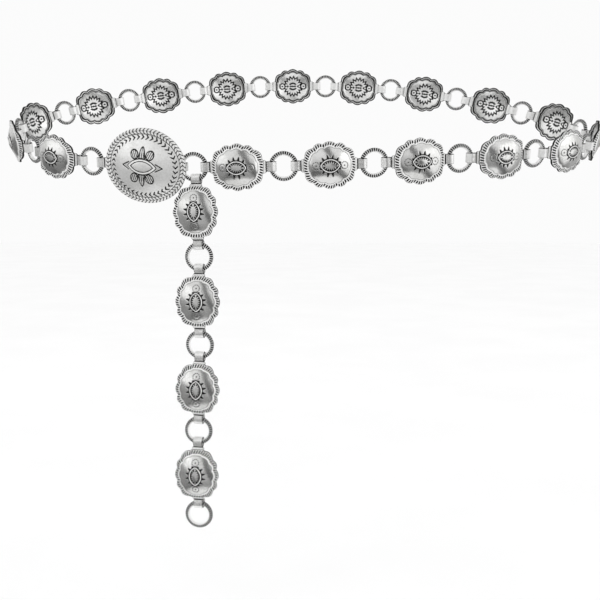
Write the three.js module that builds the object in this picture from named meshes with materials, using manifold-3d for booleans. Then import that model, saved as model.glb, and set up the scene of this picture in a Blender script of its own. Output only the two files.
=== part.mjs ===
// Concho belt in millimetres: a closed waist chain of domed conchos and round rings, hooked behind
// an oval buckle, with a tail of four more conchos hanging from the ring beside the buckle.
// +Z is up, -Y is the front of the wearer, and the origin is the middle of the waist loop.
// Each link is modelled lying flat: X along the chain, Y across it, Z out towards the onlooker,
// with the middle of the ring wire at Z = 0.

import * as THREE from "three";
import { mergeVertices } from "three/addons/utils/BufferGeometryUtils.js";
import Module from "manifold-3d";

const wasm = await Module();
wasm.setup();

// How many conchos the waist has
const WAIST_CONCHOS = 17;

// Round ring
const RING_DIAMETER = 14.7; // across the middle of its wire
const WIRE = 2.64;
const RING_SIDES = 14;
const WIRE_SIDES = 5;

// Strap loops that hold the rings
const EYE_PLAY = 0.65; // room round the wire inside a loop
const STRAP_THICK = 0.85;
const STRAP_WIDTH = 5.5;
const STRAP_STEP = 0.15; // how far a strap lies below the end of its plate
const STRAP_ROOT = 1.0; // how far a strap reaches in under the end of its concho
const CORNER = 0.9; // cut of a loop's outer corners

// Concho plate
const CONCHO_LENGTH = 29.8;
const CONCHO_HEIGHT = 26.8;
const CONCHO_THICK = 1.2;
const RIM_WIDTH = 2.9; // rope band between the dome and the scalloped edge
const RIM_BEAD = 0.35; // raised line at the inner edge of that band
const DOME_RISE = 3.0;
const END_BEND = THREE.MathUtils.degToRad(42); // the ends of the plate turn back towards the wearer
const END_BENT = 2.6; // length of each turned end
const STRAP_REACH = 3.75; // from the end of the plate to the middle of the wire
const DOME_SIDES = 20;
const HOLLOW_SIDES = 16;
const HOLLOW_CORE_SIDES = 12;
const HOLLOW_CORE = 0.55; // the inner loop of the hollow, as a share of the dome

// Raised eye in the middle of each dome
const EYE_LENGTH = 11.6;
const EYE_HEIGHT = 7.8;
const EYE_RIDGE = 0.5;
const EYE_RIDGE_WIDTH = 0.9;
const EYE_SIDES = 12;
const EYE_POINT = 0.3; // how far an eye is drawn in towards its two tips; an oval has 0

// Buckle
const BUCKLE_LENGTH = 50.5;
const BUCKLE_HEIGHT = 43;
const BUCKLE_THICK = 1.4;
const BUCKLE_RISE = 5.0;
const ROPE_WIDTH = 3.3;
const ROPE_RISE = 0.9;
const BUCKLE_EYE_LENGTH = 17.5;
const BUCKLE_EYE_HEIGHT = 8.6;
const PETAL_RISE = 0.35;
const BUCKLE_REACH = 5.25; // from the plate's edge to the wire in its loop
const HOOK_SET_BACK = 4.95; // the hooked wire lies this far in behind the plate's edge
const HOOK_THICK = 1.15;
const HOOK_WIDTH = 4.6;
const HOOK_TIP = 0.6; // how far the tip rises past the middle of the wire
const BUCKLE_ROLL = THREE.MathUtils.degToRad(-3.5); // the plate sits a little askew on its loop
const BUCKLE_SIDES = 32;
const BUCKLE_CORE_SIDES = 20;
const BUCKLE_BACK_SIDES = 14;
const BUCKLE_EYE_SIDES = 16;
const SLOPE_STEP = 0.5; // distance over which the slope of the dome is measured under a petal

// Waist loop: a closed oval whose depth follows from the length of the chain
const WAIST_WIDTH = 389;
const WAIST_EGG = 3.5; // the oval's right end is fuller than its left by this much
const HOOK_ANGLE = 4.368; // where on the oval the hook is, in radians from +X
const WAIST_TILT = 36.3; // how much higher than its middle the back of the oval is
const LINK_TURN = 1.2; // more than any one link can turn round the oval, in radians

// How the links stand: their tops lean to the front all round, and outward at both sides
const LINK_LEAN = 0.16; // forward for each unit of height
const LINK_FLARE = 0.12; // outward for each unit of height, at the far sides

// Where the tail hangs on the first ring: this far round its wire from the lowest point, away from
// the buckle
const TAIL_SLIDE = THREE.MathUtils.degToRad(9);

// How far each concho of the tail, with the ring under it, leans towards the buckle, in degrees
const TAIL_LEANS = [-1.3, 0.5, 1.8, 0.4];

// Height of the oval above its level plane, as shares of its tilt: the front hangs low and the
// sides sag
const HEIGHT_WAVES = [
  { waves: 1, cos: -0.025, sin: 1 },
  { waves: 2, cos: -0.127, sin: -0.0275 },
  { waves: 3, cos: -0.041, sin: -0.022 },
];

// One quarter of a concho's scalloped edge, from the flat end to the middle: corner points as shares
// of the half length and the half height, and the bulge of the lobe that starts there as a share of
// the half height
const LOBES = [
  { along: 1.0, across: 0.25, bulge: 0 },
  { along: 0.95, across: 0.34, bulge: 0.12 },
  { along: 0.635, across: 0.735, bulge: 0.105 },
  { along: 0.255, across: 0.885, bulge: 0.115 },
];
const LOBE_STEPS = 3;

// Petals of the fan above and below the buckle's eye: place and half size as shares of the plate's
// half length and half height, and lean in degrees
const PETALS = [
  { along: -0.19, across: 0.31, wide: 0.09, tall: 0.125, lean: 24 },
  { along: 0, across: 0.37, wide: 0.08, tall: 0.155, lean: 0 },
  { along: 0.19, across: 0.31, wide: 0.09, tall: 0.125, lean: -24 },
];

// Outline of a petal from its foot, as shares of its half size
const PETAL_OUTLINE = [
  { wide: 0, tall: -1 },
  { wide: 1, tall: -0.25 },
  { wide: 1, tall: 0.5 },
  { wide: 0, tall: 1 },
  { wide: -1, tall: 0.5 },
  { wide: -1, tall: -0.25 },
];

// Values that follow from those above
const EYE_HALF = WIRE / 2 + EYE_PLAY;
const STRAP_TOP = EYE_HALF + STRAP_THICK;
const CONCHO_LIFT = STRAP_TOP + STRAP_STEP + END_BENT * Math.tan(END_BEND);
const CONCHO_CHORD = CONCHO_LENGTH + 2 * STRAP_REACH;
const BUCKLE_LIFT = CONCHO_LIFT;
const BUCKLE_LEFT = BUCKLE_LENGTH / 2 + BUCKLE_REACH;
const BUCKLE_RIGHT = BUCKLE_LENGTH / 2 - HOOK_SET_BACK;
const BUCKLE_CHORD = BUCKLE_LEFT + BUCKLE_RIGHT;
const BUCKLE_MIDDLE = (BUCKLE_LEFT - BUCKLE_RIGHT) / 2;
const BUCKLE_CORE = BUCKLE_HEIGHT / 4; // inset of the loop half way up the buckle's dome

// How far the ring's wire curves away over half a strap's width
function ringCurve(width) {
  const r = RING_DIAMETER / 2;
  return r - Math.sqrt(r * r - (width / 2) ** 2);
}

// Closed skins stitched from loops of points that run counter-clockwise, seen from outside
class Skin {
  constructor() {
    this.points = [];
    this.faces = [];
  }

  loop(points) {
    const first = this.points.length;
    this.points.push(...points);
    return points.map((_, i) => first + i);
  }

  angle(index, turn) {
    const [x, y] = this.points[index];
    const a = Math.atan2(y, x);
    return (a < -1e-6 ? a + 2 * Math.PI : a) + turn * 2 * Math.PI;
  }

  // Triangles between an outer and an inner loop; back turns them to face the wearer
  band(outer, inner, back = false) {
    let i = 0;
    let j = 0;
    const at = (loop, k) => this.angle(loop[k % loop.length], Math.floor(k / loop.length));
    while (i < outer.length || j < inner.length) {
      const a = outer[i % outer.length];
      const b = inner[j % inner.length];
      const stepOuter =
        j === inner.length || (i < outer.length && at(outer, i + 1) <= at(inner, j + 1));
      if (stepOuter) {
        this.face(a, outer[(i + 1) % outer.length], b, back);
        i += 1;
      } else {
        this.face(a, inner[(j + 1) % inner.length], b, back);
        j += 1;
      }
    }
  }

  // The wall between the front and the back edge, which have the same number of points
  wall(front, back) {
    front.forEach((a, i) => {
      const next = (i + 1) % front.length;
      this.face(a, back[i], back[next]);
      this.face(a, back[next], front[next]);
    });
  }

  cap(loop, apex, back = false) {
    const [tip] = this.loop([apex]);
    loop.forEach((a, i) => this.face(a, loop[(i + 1) % loop.length], tip, back));
  }

  face(a, b, c, back = false) {
    this.faces.push(...(back ? [a, c, b] : [a, b, c]));
  }

  geometry() {
    const g = new THREE.BufferGeometry();
    g.setAttribute("position", new THREE.Float32BufferAttribute(this.points.flat(), 3));
    g.setIndex(this.faces);
    return g;
  }
}

function toSolid(geometry) {
  const bare = geometry.clone();
  bare.deleteAttribute("normal");
  bare.deleteAttribute("uv");
  const merged = mergeVertices(bare, 1e-4);
  return new wasm.Manifold(
    new wasm.Mesh({
      numProp: 3,
      vertProperties: new Float32Array(merged.attributes.position.array),
      triVerts: new Uint32Array(merged.index.array),
    }),
  );
}

function joined(geometries) {
  const mesh = geometries
    .map(toSolid)
    .reduce((a, b) => a.add(b))
    .getMesh();
  const g = new THREE.BufferGeometry();
  g.setAttribute("position", new THREE.BufferAttribute(mesh.vertProperties, 3));
  g.setIndex(new THREE.BufferAttribute(mesh.triVerts, 1));
  return g;
}

// An outline in the X-Z plane made into a bar across the chain
function across(outline, width, hole) {
  const shape = new THREE.Shape(outline.map(([x, z]) => new THREE.Vector2(x, z)));
  if (hole) {
    shape.holes.push(new THREE.Path(hole.map(([x, z]) => new THREE.Vector2(x, z))));
  }
  const g = new THREE.ExtrudeGeometry(shape, { depth: width, bevelEnabled: false });
  g.rotateX(Math.PI / 2);
  g.translate(0, width / 2, 0);
  return g;
}

function oval(halfLength, halfHeight, count, height) {
  return Array.from({ length: count }, (_, i) => {
    const t = (i / count) * 2 * Math.PI;
    const x = halfLength * Math.cos(t);
    const y = halfHeight * Math.sin(t);
    return [x, y, height(x, y)];
  });
}

// An eye: an oval drawn out to a point at both ends
function eye(halfLength, halfHeight, count, height) {
  return Array.from({ length: count }, (_, i) => {
    const t = (i / count) * 2 * Math.PI;
    const x = halfLength * Math.cos(t);
    const y = halfHeight * Math.sin(t) * Math.abs(Math.sin(t)) ** EYE_POINT;
    return [x, y, height(x, y)];
  });
}

// The scalloped edge of a concho, counter-clockwise from its right end
function scallops() {
  const first = LOBES.map((row) => ({ x: row.along, y: row.across, bulge: row.bulge }));
  const second = first.toReversed().map((p, i, all) => ({
    x: -p.x,
    y: p.y,
    bulge: i + 1 < all.length ? all[i + 1].bulge : 0,
  }));
  const upper = [...first, ...second];
  const lower = upper.map((p) => ({ x: -p.x, y: -p.y, bulge: p.bulge }));
  const corners = [...upper, ...lower].map((p) => ({
    x: (p.x * CONCHO_LENGTH) / 2,
    y: (p.y * CONCHO_HEIGHT) / 2,
    bulge: (p.bulge * CONCHO_HEIGHT) / 2,
  }));
  return corners.flatMap((a, i) => {
    const b = corners[(i + 1) % corners.length];
    const steps = a.bulge > 0 ? LOBE_STEPS : 1;
    const run = Math.hypot(b.x - a.x, b.y - a.y);
    return Array.from({ length: steps }, (_, k) => {
      const t = k / steps;
      const out = a.bulge * 4 * t * (1 - t);
      return [
        a.x + (b.x - a.x) * t + ((b.y - a.y) / run) * out,
        a.y + (b.y - a.y) * t - ((b.x - a.x) / run) * out,
      ];
    });
  });
}

// Height of a domed face with the given rise and half axes, measured from its own rim
function dome(x, y, halfLength, halfHeight, rise) {
  const share = Math.hypot(x / halfLength, y / halfHeight);
  return share < 1 ? rise * (1 - share * share) : 0;
}

function conchoPlate() {
  const halfLength = CONCHO_LENGTH / 2 - END_BENT;
  const halfHeight = CONCHO_HEIGHT / 2 - RIM_WIDTH;
  const sheet = (x) => CONCHO_LIFT - Math.max(0, Math.abs(x) - halfLength) * Math.tan(END_BEND);
  const face = (x, y) => sheet(x) + RIM_BEAD + dome(x, y, halfLength, halfHeight, DOME_RISE);
  const skin = new Skin();
  const edge = scallops();
  const front = skin.loop(edge.map(([x, y]) => [x, y, sheet(x)]));
  const rim = skin.loop(oval(halfLength, halfHeight, DOME_SIDES, face));
  const foot = skin.loop(eye(EYE_LENGTH / 2, EYE_HEIGHT / 2, EYE_SIDES, face));
  const crest = skin.loop(
    eye(
      EYE_LENGTH / 2 - EYE_RIDGE_WIDTH,
      EYE_HEIGHT / 2 - EYE_RIDGE_WIDTH,
      EYE_SIDES,
      (x, y) => face(x, y) + EYE_RIDGE,
    ),
  );
  skin.band(front, rim);
  skin.band(rim, foot);
  skin.band(foot, crest);
  skin.cap(crest, [0, 0, face(0, 0)]);
  const hollow = (x, y) => face(x, y) - CONCHO_THICK;
  const backEdge = skin.loop(edge.map(([x, y]) => [x, y, sheet(x) - CONCHO_THICK]));
  const backRim = skin.loop(oval(halfLength, halfHeight, HOLLOW_SIDES, hollow));
  const backDome = skin.loop(
    oval(halfLength * HOLLOW_CORE, halfHeight * HOLLOW_CORE, HOLLOW_CORE_SIDES, hollow),
  );
  skin.wall(front, backEdge);
  skin.band(backEdge, backRim, true);
  skin.band(backRim, backDome, true);
  skin.cap(backDome, [0, 0, hollow(0, 0)], true);
  return skin.geometry();
}

// A strap bent round a ring's wire, to the right of its plate; root is where it grows out of the plate
function strapLoop(wireX, root) {
  const start = wireX - EYE_HALF;
  const end = wireX + ringCurve(STRAP_WIDTH) + EYE_HALF;
  const heel = start - STRAP_THICK;
  const nose = end + STRAP_THICK;
  const cut = EYE_HALF / 2;
  const outline = [
    [root.x, root.bottom],
    [heel, STRAP_TOP - STRAP_THICK - CORNER],
    [heel, CORNER - STRAP_TOP],
    [heel + CORNER / 2, -STRAP_TOP],
    [nose - CORNER, -STRAP_TOP],
    [nose, CORNER - STRAP_TOP],
    [nose, STRAP_TOP - CORNER],
    [nose - CORNER, STRAP_TOP],
    [heel, STRAP_TOP],
    [root.x, root.top],
  ];
  const hole = [
    [start, cut - EYE_HALF],
    [start + cut, -EYE_HALF],
    [end - cut, -EYE_HALF],
    [end, cut - EYE_HALF],
    [end, EYE_HALF - cut],
    [end - cut, EYE_HALF],
    [start + cut, EYE_HALF],
    [start, EYE_HALF - cut],
  ];
  return across(outline, STRAP_WIDTH, hole);
}

function conchoGeometry() {
  const root = {
    x: CONCHO_LENGTH / 2 - STRAP_ROOT,
    top: STRAP_TOP,
    bottom: STRAP_TOP - CONCHO_THICK,
  };
  const right = strapLoop(CONCHO_CHORD / 2, root);
  const left = right.clone().rotateZ(Math.PI);
  return joined([conchoPlate(), right, left]);
}

function ringGeometry() {
  return new THREE.TorusGeometry(RING_DIAMETER / 2, WIRE / 2, WIRE_SIDES, RING_SIDES);
}

const buckleFace = (x, y) =>
  BUCKLE_LIFT +
  ROPE_RISE / 2 +
  dome(x, y, BUCKLE_LENGTH / 2 - ROPE_WIDTH, BUCKLE_HEIGHT / 2 - ROPE_WIDTH, BUCKLE_RISE);

function bucklePlate() {
  const ring = (inset, height, sides = BUCKLE_SIDES) =>
    oval(BUCKLE_LENGTH / 2 - inset, BUCKLE_HEIGHT / 2 - inset, sides, height);
  const skin = new Skin();
  const edge = skin.loop(ring(0, () => BUCKLE_LIFT));
  const rope = skin.loop(ring(ROPE_WIDTH / 2, () => BUCKLE_LIFT + ROPE_RISE));
  const foot = skin.loop(ring(ROPE_WIDTH, buckleFace));
  const middle = skin.loop(ring(BUCKLE_CORE, buckleFace, BUCKLE_CORE_SIDES));
  const eyeFoot = skin.loop(
    eye(BUCKLE_EYE_LENGTH / 2, BUCKLE_EYE_HEIGHT / 2, BUCKLE_EYE_SIDES, buckleFace),
  );
  const eyeCrest = skin.loop(
    eye(
      BUCKLE_EYE_LENGTH / 2 - EYE_RIDGE_WIDTH,
      BUCKLE_EYE_HEIGHT / 2 - EYE_RIDGE_WIDTH,
      BUCKLE_EYE_SIDES,
      (x, y) => buckleFace(x, y) + EYE_RIDGE,
    ),
  );
  skin.band(edge, rope);
  skin.band(rope, foot);
  skin.band(foot, middle);
  skin.band(middle, eyeFoot);
  skin.band(eyeFoot, eyeCrest);
  skin.cap(eyeCrest, [0, 0, buckleFace(0, 0)]);
  const hollow = (x, y) => buckleFace(x, y) - BUCKLE_THICK - ROPE_RISE / 2;
  const backEdge = skin.loop(ring(0, hollow));
  const backRim = skin.loop(ring(ROPE_WIDTH, hollow, BUCKLE_CORE_SIDES));
  const backMiddle = skin.loop(ring(BUCKLE_CORE, hollow, BUCKLE_BACK_SIDES));
  skin.wall(edge, backEdge);
  skin.band(backEdge, backRim, true);
  skin.band(backRim, backMiddle, true);
  skin.cap(backMiddle, [0, 0, hollow(0, 0)], true);
  return skin.geometry();
}

// One raised petal, tilted to lie on the dome
function petal(row, side) {
  const x = (row.along * BUCKLE_LENGTH) / 2;
  const y = (side * row.across * BUCKLE_HEIGHT) / 2;
  const wide = (row.wide * BUCKLE_LENGTH) / 2;
  const tall = (row.tall * BUCKLE_HEIGHT) / 2;
  const shape = new THREE.Shape(
    PETAL_OUTLINE.map((p) => new THREE.Vector2(p.wide * wide, p.tall * tall)),
  );
  const g = new THREE.ExtrudeGeometry(shape, { depth: BUCKLE_THICK, bevelEnabled: false });
  g.translate(0, 0, PETAL_RISE - BUCKLE_THICK);
  if (side < 0) {
    g.rotateZ(Math.PI);
  }
  g.rotateZ(THREE.MathUtils.degToRad(row.lean * side));
  const slopeX = (buckleFace(x + SLOPE_STEP, y) - buckleFace(x - SLOPE_STEP, y)) / (2 * SLOPE_STEP);
  const slopeY = (buckleFace(x, y + SLOPE_STEP) - buckleFace(x, y - SLOPE_STEP)) / (2 * SLOPE_STEP);
  const normal = new THREE.Vector3(-slopeX, -slopeY, 1).normalize();
  g.applyQuaternion(new THREE.Quaternion().setFromUnitVectors(new THREE.Vector3(0, 0, 1), normal));
  g.translate(x, y, buckleFace(x, y));
  return g;
}

// The hook behind the plate: a bent bar that goes down beside the wire, under it and up again
function hook(wireX) {
  const heel = wireX - EYE_HALF;
  const nose = wireX + EYE_HALF + ringCurve(HOOK_WIDTH);
  const root = buckleFace(wireX - BUCKLE_MIDDLE - EYE_HALF, 0) - BUCKLE_THICK / 2;
  const under = -EYE_HALF - HOOK_THICK;
  return across(
    [
      [heel - HOOK_THICK, root],
      [heel - HOOK_THICK, under + CORNER],
      [heel - HOOK_THICK + CORNER, under],
      [nose + HOOK_THICK - CORNER, under],
      [nose + HOOK_THICK, under + CORNER],
      [nose + HOOK_THICK, HOOK_TIP],
      [nose, HOOK_TIP],
      [nose, -EYE_HALF],
      [heel, -EYE_HALF],
      [heel, root],
    ],
    HOOK_WIDTH,
  );
}

function buckleGeometry() {
  const petals = PETALS.flatMap((row) => [petal(row, 1), petal(row, -1)]);
  const plate = joined([bucklePlate(), ...petals]);
  plate.rotateZ(BUCKLE_ROLL);
  plate.translate(BUCKLE_MIDDLE, 0, 0);
  const rootX = BUCKLE_CHORD / 2 - BUCKLE_REACH - ROPE_WIDTH / 2;
  const under = BUCKLE_LIFT - BUCKLE_THICK;
  const root = { x: rootX, top: under + BUCKLE_THICK / 2, bottom: under - STRAP_THICK / 2 };
  const left = strapLoop(BUCKLE_CHORD / 2, root).rotateZ(Math.PI);
  return joined([plate, left, hook(BUCKLE_CHORD / 2)]);
}

// The oval of the waist at an angle round it, for a given depth
function waistPoint(angle, depth) {
  const share = HEIGHT_WAVES.reduce(
    (sum, row) => sum + row.cos * Math.cos(row.waves * angle) + row.sin * Math.sin(row.waves * angle),
    0,
  );
  return new THREE.Vector3(
    (WAIST_WIDTH / 2) * Math.cos(angle) + WAIST_EGG * Math.cos(2 * angle),
    (depth / 2) * Math.sin(angle),
    WAIST_TILT * share,
  );
}

function bisect(low, high, isLow) {
  const HALVINGS = 44;
  let a = low;
  let b = high;
  for (let i = 0; i < HALVINGS; i += 1) {
    const middle = (a + b) / 2;
    if (isLow(middle)) {
      a = middle;
    } else {
      b = middle;
    }
  }
  return (a + b) / 2;
}

// Steps of the given lengths along the oval: the angle reached after each
function walk(depth, chords) {
  const angles = [HOOK_ANGLE];
  for (const chord of chords) {
    const from = angles.at(-1);
    const start = waistPoint(from, depth);
    const reach = (angle) => waistPoint(angle, depth).distanceTo(start) < chord;
    angles.push(bisect(from, from + LINK_TURN, reach));
  }
  return angles;
}

// The wire middles of the whole waist chain: a ring, a concho, a ring and so on, then the buckle
function waistJoints() {
  const chords = Array.from({ length: WAIST_CONCHOS }, () => [RING_DIAMETER, CONCHO_CHORD]).flat();
  chords.push(RING_DIAMETER, BUCKLE_CHORD);
  const total = chords.reduce((a, b) => a + b);
  const tooDeep = (depth) => walk(depth, chords).at(-1) < HOOK_ANGLE + 2 * Math.PI;
  const deepest = total / 2;
  const shallowest = total / 20;
  const depth = bisect(deepest, shallowest, tooDeep);
  return walk(depth, chords).map((angle) => waistPoint(angle, depth));
}

const STEEL_GREY = { roughness: 0.28, metalness: 1.0 };
const FINISH = {
  buckle: { color: 0xcfcfcd, ...STEEL_GREY },
  concho: { color: 0xc4c4c2, ...STEEL_GREY },
  ring: { color: 0xb2b2b0, ...STEEL_GREY },
};

function addLink(group, name, kind, geometry, place) {
  const mesh = new THREE.Mesh(geometry, new THREE.MeshStandardMaterial(FINISH[kind]));
  mesh.name = name;
  mesh.position.copy(place.middle);
  mesh.quaternion.setFromRotationMatrix(
    new THREE.Matrix4().makeBasis(place.along, place.across, place.out),
  );
  group.add(mesh);
}

// Place of a waist link between the wires at its two ends, its face outward
function between(a, b) {
  const middle = a.clone().add(b).multiplyScalar(0.5);
  const upright = new THREE.Vector3((LINK_FLARE * middle.x) / (WAIST_WIDTH / 2), -LINK_LEAN, 1);
  const along = b.clone().sub(a).normalize();
  const out = along.clone().cross(upright).normalize();
  return {
    middle,
    along,
    across: out.clone().cross(along),
    out,
  };
}

// Place of a tail link that hangs from a point, facing the way the first ring does
function hanging(top, facing, lean, length) {
  const out = facing.clone().setZ(0).normalize();
  const along = new THREE.Vector3(0, 0, -1).applyAxisAngle(out, -lean);
  return {
    middle: top.clone().addScaledVector(along, length / 2),
    along,
    across: out.clone().cross(along),
    out,
  };
}

function conchoBelt() {
  const belt = new THREE.Group();
  const twoDigits = (n) => String(n).padStart(2, "0");
  const concho = conchoGeometry();
  const ring = ringGeometry();
  const joints = waistJoints();
  const waist = new THREE.Group();
  for (let i = 0; i <= WAIST_CONCHOS; i += 1) {
    const name = twoDigits(i + 1);
    addLink(waist, `ring_${name}`, "ring", ring, between(joints[2 * i], joints[2 * i + 1]));
    if (i < WAIST_CONCHOS) {
      const place = between(joints[2 * i + 1], joints[2 * i + 2]);
      addLink(waist, `concho_${name}`, "concho", concho, place);
    }
  }
  const last = joints.slice(-2);
  addLink(waist, "buckle", "buckle", buckleGeometry(), between(last[0], last[1]));
  const tail = new THREE.Group();
  const firstRing = between(joints[0], joints[1]);
  const top = firstRing.middle
    .clone()
    .addScaledVector(firstRing.across, (-RING_DIAMETER / 2) * Math.cos(TAIL_SLIDE))
    .addScaledVector(firstRing.along, (RING_DIAMETER / 2) * Math.sin(TAIL_SLIDE));
  for (let i = 0; i < TAIL_LEANS.length; i += 1) {
    const lean = THREE.MathUtils.degToRad(TAIL_LEANS[i]);
    const conchoPlace = hanging(top, firstRing.out, lean, CONCHO_CHORD);
    addLink(tail, `tail_concho_${i + 1}`, "concho", concho, conchoPlace);
    top.addScaledVector(conchoPlace.along, CONCHO_CHORD);
    const ringPlace = hanging(top, firstRing.out, lean, RING_DIAMETER);
    addLink(tail, `tail_ring_${i + 1}`, "ring", ring, ringPlace);
    top.addScaledVector(ringPlace.along, RING_DIAMETER);
  }
  belt.add(waist, tail);
  return belt;
}

export default conchoBelt();
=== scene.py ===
# Concho belt in stamped, darkened silver. Each kind of link is one shared mesh, set at every place
# that it has in the worn chain. Shapes are worked out in millimetres, with each link lying flat:
# X along the chain, Y across it and Z out towards the onlooker.
import math

import bpy
import numpy as np
from mathutils import Matrix, Vector


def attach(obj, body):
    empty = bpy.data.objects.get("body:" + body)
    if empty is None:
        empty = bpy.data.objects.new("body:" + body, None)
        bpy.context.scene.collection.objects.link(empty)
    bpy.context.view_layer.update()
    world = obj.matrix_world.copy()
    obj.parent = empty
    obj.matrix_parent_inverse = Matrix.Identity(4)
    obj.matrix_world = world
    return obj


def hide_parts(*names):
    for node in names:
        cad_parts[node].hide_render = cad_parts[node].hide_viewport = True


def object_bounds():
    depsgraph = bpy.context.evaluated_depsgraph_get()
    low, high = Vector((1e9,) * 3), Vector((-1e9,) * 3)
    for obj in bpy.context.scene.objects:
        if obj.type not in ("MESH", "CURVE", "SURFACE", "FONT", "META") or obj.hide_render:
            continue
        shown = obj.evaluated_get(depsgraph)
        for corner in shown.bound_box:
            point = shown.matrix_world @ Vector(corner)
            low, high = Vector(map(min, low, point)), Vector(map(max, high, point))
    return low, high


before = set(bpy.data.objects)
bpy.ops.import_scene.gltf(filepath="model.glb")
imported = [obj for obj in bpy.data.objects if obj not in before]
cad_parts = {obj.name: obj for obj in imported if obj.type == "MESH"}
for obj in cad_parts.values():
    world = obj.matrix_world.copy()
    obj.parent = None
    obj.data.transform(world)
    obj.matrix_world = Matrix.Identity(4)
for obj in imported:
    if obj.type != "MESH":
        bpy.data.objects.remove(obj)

CAD_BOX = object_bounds()
MM = 0.001

# Chain
WAIST_CONCHOS = 17
WAIST_WIDTH = 389
WAIST_EGG = 3.5  # the oval's right end is fuller than its left by this much
HOOK_ANGLE = 4.368  # where on the oval the hook is, in radians from +X
WAIST_TILT = 36.3  # how much higher than its middle the back of the oval is
HEIGHT_WAVES = [(1, -0.025, 1), (2, -0.127, -0.0275), (3, -0.041, -0.022)]  # waves, cosine, sine
LINK_LEAN = 0.16  # forward for each unit of height
LINK_FLARE = 0.12  # outward for each unit of height, at the far sides
LINK_TURN = 1.2  # more than any one link can turn round the oval, in radians
BISECTIONS = 44
TAIL_SLIDE = math.radians(9)  # the tail hangs this far round the first ring, away from the buckle
TAIL_LEANS = [-1.3, 0.5, 1.8, 0.4]  # degrees towards the buckle, for each concho and the ring under it

# Ring
RING_DIAMETER = 14.7  # across the middle of its wire
WIRE = 2.64
RING_RIBS = 38
STEPS_PER_RIB = 5
WIRE_STEPS = 10
RIB_DEPTH = 0.3
RIB_SHADE = 1.15
RIB_FROST = 0.9

# Straps
EYE_PLAY = 0.65  # room round the wire inside a loop
STRAP_THICK = 0.85
STRAP_WIDTH = 5.5
SHOULDER_WIDTH = 7.4  # where a strap leaves its plate
STRAP_EDGE = 0.22  # how far the edges of a strip are eased
STRAP_STEP = 0.15  # how far a strap lies below the end of its plate
# Painted shade on a strap: darker along its sides and in the crease where it bends away from its plate
SIDE_SHADE = 0.8
CREASE_SHADE = 1.1
CREASE_WIDTH = 0.45
WRAP_SHADE = 0.24  # painted shade where a strap lies over the wire
# Frosted white on a strap, less of it over the wire; on the shoulder the white also paints a highlight
WRAP_FROST = 0.35
SHOULDER_FROST_AND_HIGHLIGHT = 0.8

# Concho
CONCHO_LENGTH = 29.8
CONCHO_HEIGHT = 26.8
CONCHO_THICK = 1.2
RIM_WIDTH = 2.9
RIM_BEAD = 0.35  # how far the dome's foot stands over the rim
DOME_RISE = 3.0
END_BEND = math.tan(math.radians(42))  # the ends of the plate turn back
END_BENT = 2.6
BEND_SOFT = 0.4
STRAP_REACH = 3.75  # from the end of the plate to the middle of the wire
# One quarter of the edge: corner as shares of the half length and half height, bulge of the next lobe
LOBES = [(1.0, 0.25, 0), (0.95, 0.34, 0.12), (0.635, 0.735, 0.105), (0.255, 0.885, 0.115)]

# Bead line between a concho's dome and its rim
BEAD_WIDTH = 0.55
BEAD_RISE = 0.25
BEAD_FOLLOWS = 0.7  # share of the scallops that the bead line takes up
BEAD_FROST_AND_HIGHLIGHT = 0.7

# Rope cuts in the rim of a concho
NOTCH_PITCH = 1.5
NOTCH_CUT = 0.12  # how far a cut dents the edge
RAYS_PER_NOTCH = 6
CUT_HALF = 0.27  # share of the pitch
CUT_SLANT = 0.5
CUT_DEPTH = 0.42
RIM_LIFT = 0.12
WALL_SHADE = 0.8
WALL_FROST = 0.5

# Stamping on the face of a concho
STAMP_DEPTH = 0.15
EYE_LENGTH = 11.6
EYE_HEIGHT = 7.8
EYE_RIDGE = 0.5
EYE_RIDGE_WIDTH = 0.85
RIDGE_FROST_AND_HIGHLIGHT = 0.6
# Rays outside the eye and teeth inside it: place along the eye, length and width
RAYS = [(-5.0, 1.2, 1.5), (-3.5, 2.2, 1.3), (-1.2, 2.5, 1.3), (1.2, 2.5, 1.3), (3.5, 2.2, 1.3),
        (5.0, 1.2, 1.5)]
TEETH = [(x, 1.6, 1.05) for x in (-4.0, -2.7, -1.35, 0, 1.35, 2.7, 4.0)]
CIRCLE_PLACE = 8.0
CIRCLE_RADIUS = 2.0
CIRCLE_DOTS = 11

# What the stamping leaves on the hollow side
BACK_FROST = 0.35
CROWN_FROST = 0.8
CROWN_TEETH = 17
CROWN_ROOT = 5.0
CROWN_RUN = 2.1
BACK_CIRCLE_PLACE = 8.5
BACK_CIRCLE_RADIUS = 2.1
BACK_LENS = (4.2, 2.5)  # half length and half height
SLIT_HALF_LENGTH = 3.0
SLIT_HALF_HEIGHT = 0.7

# Loops of a concho's mesh, from the middle of the face outward and on behind to the middle again
EYE_LOOPS = [(4, 0.12), (4, 0.35), (2, 0.55), (2, 0.68), (2, 0.8), (2, 0.9), (2, 1.0)]  # step, share
RIDGE_SHARES = (0.2, 0.4, 0.6, 0.8)
DOME_SHARES = np.linspace(0, 1, 27)
RIM_SHARES = (1.0, 0.88, 0.8, 0.7, 0.55, 0.4, 0.26, 0.18, 0.1, 0.03)
WALL_LOOPS = [(0.1, 0.06), (0.35, 0.0), (0.85, 0.0), (1.1, 0.06)]  # drop, inset
# Inset, lift and darkening of the lines behind the rim, and behind the foot of the dome
BACK_LINES = [(0.05, 0, 1), (0.75, 0, 1), (0.9, 0, 0), (1.35, 0, 0), (1.5, 0.2, 1), (2.1, 0.25, 1)]
FOOT_LINES = [(0.3, 0.1, 0.0), (0.1, 0.15, 0.8)]
HOLLOW_SHARES = (0.97, *np.linspace(0.92, 0.78, 3), *np.linspace(0.74, 0.42, 9), 0.34, 0.24, 0.1)

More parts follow.
